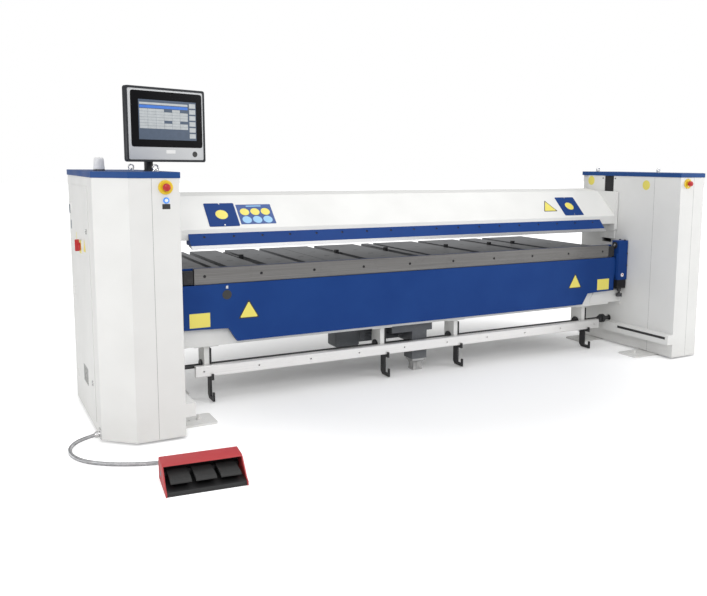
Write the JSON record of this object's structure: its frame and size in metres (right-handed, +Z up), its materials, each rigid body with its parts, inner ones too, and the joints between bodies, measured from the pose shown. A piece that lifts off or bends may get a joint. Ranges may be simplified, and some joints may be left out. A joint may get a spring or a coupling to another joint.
{
  "type": "sheet metal folding machine",
  "caption": "Swing-beam sheet metal folder: two cabinets, clamping beam over a slotted table, folding beam in front, back gauge, panel on a post and a three-treadle foot switch.",
  "frame": {"origin": "on the floor, at the centre of the four floor anchors", "axes": "+X along the bend line, +Y from the operator to the rear, +Z up"},
  "size_m": [5.6862, 2.8386, 2.2555],
  "materials": {
    "cream_paint": "satin powder coat",
    "blue_paint": "gloss paint",
    "tool_steel": "ground",
    "table_steel": "phosphated plate",
    "black_steel": "semi-gloss black",
    "motor_grey": "textured paint",
    "cast_aluminium": "as cast",
    "zinc_steel": "zinc plated",
    "yellow_plastic": "gloss",
    "red_plastic": "gloss",
    "black_plastic": "matte",
    "clear_plastic": "frosted",
    "blue_lens": "lit lens",
    "screen_glass": "gloss",
    "spiral_conduit": "corrugated"
  },
  "bodies": {
    "machine_base": {"side_frames": "cream_paint", "front_cover_left": "cream_paint", "front_cover_right": "cream_paint", "rear_covers": "cream_paint", "top_caps": "blue_paint", "switch_bases": "yellow_plastic", "beacon_base": "black_plastic", "beacon_dome": "clear_plastic", "lifting_eyes": "zinc_steel", "monitor_post": "black_steel", "lower_beam": "cream_paint", "front_edge_strip": "blue_paint", "table_frame": "cream_paint", "table_plates": "table_steel", "beam_hangers": "cream_paint", "storage_hooks": "black_steel", "spare_rail": "tool_steel", "drive_motors": "black_steel", "drive_gearbox": "motor_grey", "drive_stand": "cast_aluminium", "bearing_blocks": "black_steel", "screw_jacks": "motor_grey", "fold_gearmotors": "motor_grey", "floor_plates": "cream_paint", "pedal_base": "black_plastic", "pedal_hood": "red_plastic", "cord_glands": "zinc_steel", "conduit": "spiral_conduit"},
    "cabinet_door": {"cabinet_door": "cream_paint"},
    "door_lock_upper": {"door_lock_upper": "zinc_steel"},
    "door_lock_lower": {"door_lock_lower": "zinc_steel"},
    "main_switch": {"main_switch_handle": "red_plastic"},
    "emergency_stop_left": {"emergency_stop_left": "red_plastic"},
    "emergency_stop_right": {"emergency_stop_right": "red_plastic"},
    "start_button": {"start_button": "blue_lens"},
    "monitor_arm": {"monitor_arm": "black_steel"},
    "monitor_head": {"monitor_housing": "black_plastic", "monitor_screen": "screen_glass"},
    "clamping_beam": {"clamp_beam": "cream_paint", "beam_end_plates": "cream_paint", "tool_carrier": "blue_paint", "clamping_tool": "tool_steel", "tool_bolts": "black_steel", "access_panels": "blue_paint", "slot_shutters": "black_steel"},
    "drive_shaft": {"drive_shaft": "tool_steel"},
    "lift_screw_left": {"lift_screw_left": "tool_steel"},
    "lift_screw_right": {"lift_screw_right": "tool_steel"},
    "fold_arms": {"pivot_arms": "blue_paint"},
    "folding_beam": {"folding_beam": "blue_paint", "bending_rail": "tool_steel", "rail_bolts": "black_steel"},
    "adjust_spindle_left": {"adjust_spindle_left": "tool_steel"},
    "adjust_spindle_right": {"adjust_spindle_right": "tool_steel"},
    "back_gauge": {"gauge_beam": "black_steel", "gauge_fingers": "zinc_steel"},
    "gauge_screw": {"gauge_screw": "tool_steel"},
    "treadle_left": {"treadle_left": "black_plastic"},
    "treadle_middle": {"treadle_middle": "black_plastic"},
    "treadle_right": {"treadle_right": "black_plastic"}
  },
  "joints": [
    {"name": "clamping_beam_lift", "type": "slide", "parent": "machine_base", "child": "clamping_beam", "axis": [0, 0, 1], "range_m": [-0.1335, 0]},
    {"name": "drive_shaft_turn", "type": "hinge", "parent": "machine_base", "child": "drive_shaft", "pos_m": [0, 0.15, 0.255], "axis": [1, 0, 0], "continuous": true},
    {"name": "lift_screw_turn_left", "type": "hinge", "parent": "machine_base", "child": "lift_screw_left", "pos_m": [-2.36, 0.22, 0.6], "axis": [0, 0, 1], "continuous": true},
    {"name": "lift_screw_turn_right", "type": "hinge", "parent": "machine_base", "child": "lift_screw_right", "pos_m": [2.36, 0.22, 0.6], "axis": [0, 0, 1], "continuous": true},
    {"name": "folding_beam_swing", "type": "hinge", "parent": "machine_base", "child": "fold_arms", "pos_m": [0, -0.015, 1.018], "axis": [-1, 0, 0], "range_deg": [0, 130]},
    {"name": "folding_beam_adjust", "type": "slide", "parent": "fold_arms", "child": "folding_beam", "axis": [0, 0, -1], "range_m": [0, 0.06]},
    {"name": "adjust_turn_left", "type": "hinge", "parent": "fold_arms", "child": "adjust_spindle_left", "pos_m": [-2.172, -0.047, 0.55], "axis": [0, 0, 1], "continuous": true},
    {"name": "adjust_turn_right", "type": "hinge", "parent": "fold_arms", "child": "adjust_spindle_right", "pos_m": [2.172, -0.047, 0.55], "axis": [0, 0, 1], "continuous": true},
    {"name": "back_gauge_travel", "type": "slide", "parent": "machine_base", "child": "back_gauge", "axis": [0, 1, 0], "range_m": [-0.415, 0.045]},
    {"name": "gauge_screw_turn", "type": "hinge", "parent": "machine_base", "child": "gauge_screw", "pos_m": [0, 0.7, 0.77], "axis": [0, 1, 0], "continuous": true},
    {"name": "monitor_swivel", "type": "hinge", "parent": "machine_base", "child": "monitor_arm", "pos_m": [-2.333, -0.25, 2], "axis": [0, 0, 1], "range_deg": [-45, 45]},
    {"name": "monitor_tilt", "type": "hinge", "parent": "monitor_arm", "child": "monitor_head", "pos_m": [-2.2507, -0.26419, 2.012], "axis": [-0.9483, -0.3173, 0], "range_deg": [-5, 20]},
    {"name": "cabinet_door_swing", "type": "hinge", "parent": "machine_base", "child": "cabinet_door", "pos_m": [-2.738, 0.437, 0.85], "axis": [0, 0, -1], "range_deg": [0, 110]},
    {"name": "door_lock_turn_upper", "type": "hinge", "parent": "cabinet_door", "child": "door_lock_upper", "pos_m": [-2.732, -0.255, 1.329], "axis": [1, 0, 0], "range_deg": [0, 90]},
    {"name": "door_lock_turn_lower", "type": "hinge", "parent": "cabinet_door", "child": "door_lock_lower", "pos_m": [-2.732, -0.255, 0.327], "axis": [1, 0, 0], "range_deg": [0, 90]},
    {"name": "main_switch_turn", "type": "hinge", "parent": "cabinet_door", "child": "main_switch", "pos_m": [-2.742, 0.018, 1.208], "axis": [-1, 0, 0], "range_deg": [0, 90]},
    {"name": "emergency_stop_push_left", "type": "slide", "parent": "machine_base", "child": "emergency_stop_left", "axis": [0, 1, 0], "range_m": [0, 0.006], "stiffness_N_per_m": 2000, "springref_m": -0.003},
    {"name": "emergency_stop_push_right", "type": "slide", "parent": "machine_base", "child": "emergency_stop_right", "axis": [0, 1, 0], "range_m": [0, 0.006], "stiffness_N_per_m": 2000, "springref_m": -0.003},
    {"name": "start_button_push", "type": "slide", "parent": "machine_base", "child": "start_button", "axis": [0, 1, 0], "range_m": [0, 0.004], "stiffness_N_per_m": 600, "springref_m": -0.002},
    {"name": "treadle_press_left", "type": "hinge", "parent": "machine_base", "child": "treadle_left", "pos_m": [-2.46543, -1.34076, 0.052], "axis": [0.9949, -0.1011, 0], "range_deg": [0, 8], "stiffness_Nm_per_rad": 60, "springref_deg": -8.59},
    {"name": "treadle_press_middle", "type": "hinge", "parent": "machine_base", "child": "treadle_middle", "pos_m": [-2.33112, -1.3544, 0.052], "axis": [0.9949, -0.1011, 0], "range_deg": [0, 8], "stiffness_Nm_per_rad": 60, "springref_deg": -8.59},
    {"name": "treadle_press_right", "type": "hinge", "parent": "machine_base", "child": "treadle_right", "pos_m": [-2.19681, -1.36804, 0.052], "axis": [0.9949, -0.1011, 0], "range_deg": [0, 8], "stiffness_Nm_per_rad": 60, "springref_deg": -8.59}
  ],
  "couplings": [
    {"joint": "lift_screw_turn_left", "follows": "clamping_beam_lift", "rad_per_m": 785.4},
    {"joint": "lift_screw_turn_right", "follows": "clamping_beam_lift", "rad_per_m": 785.4},
    {"joint": "drive_shaft_turn", "follows": "clamping_beam_lift", "rad_per_m": 3141.6},
    {"joint": "adjust_turn_left", "follows": "folding_beam_adjust", "rad_per_m": 1047.2},
    {"joint": "adjust_turn_right", "follows": "folding_beam_adjust", "rad_per_m": 1047.2},
    {"joint": "gauge_screw_turn", "follows": "back_gauge_travel", "rad_per_m": 628.32}
  ]
}
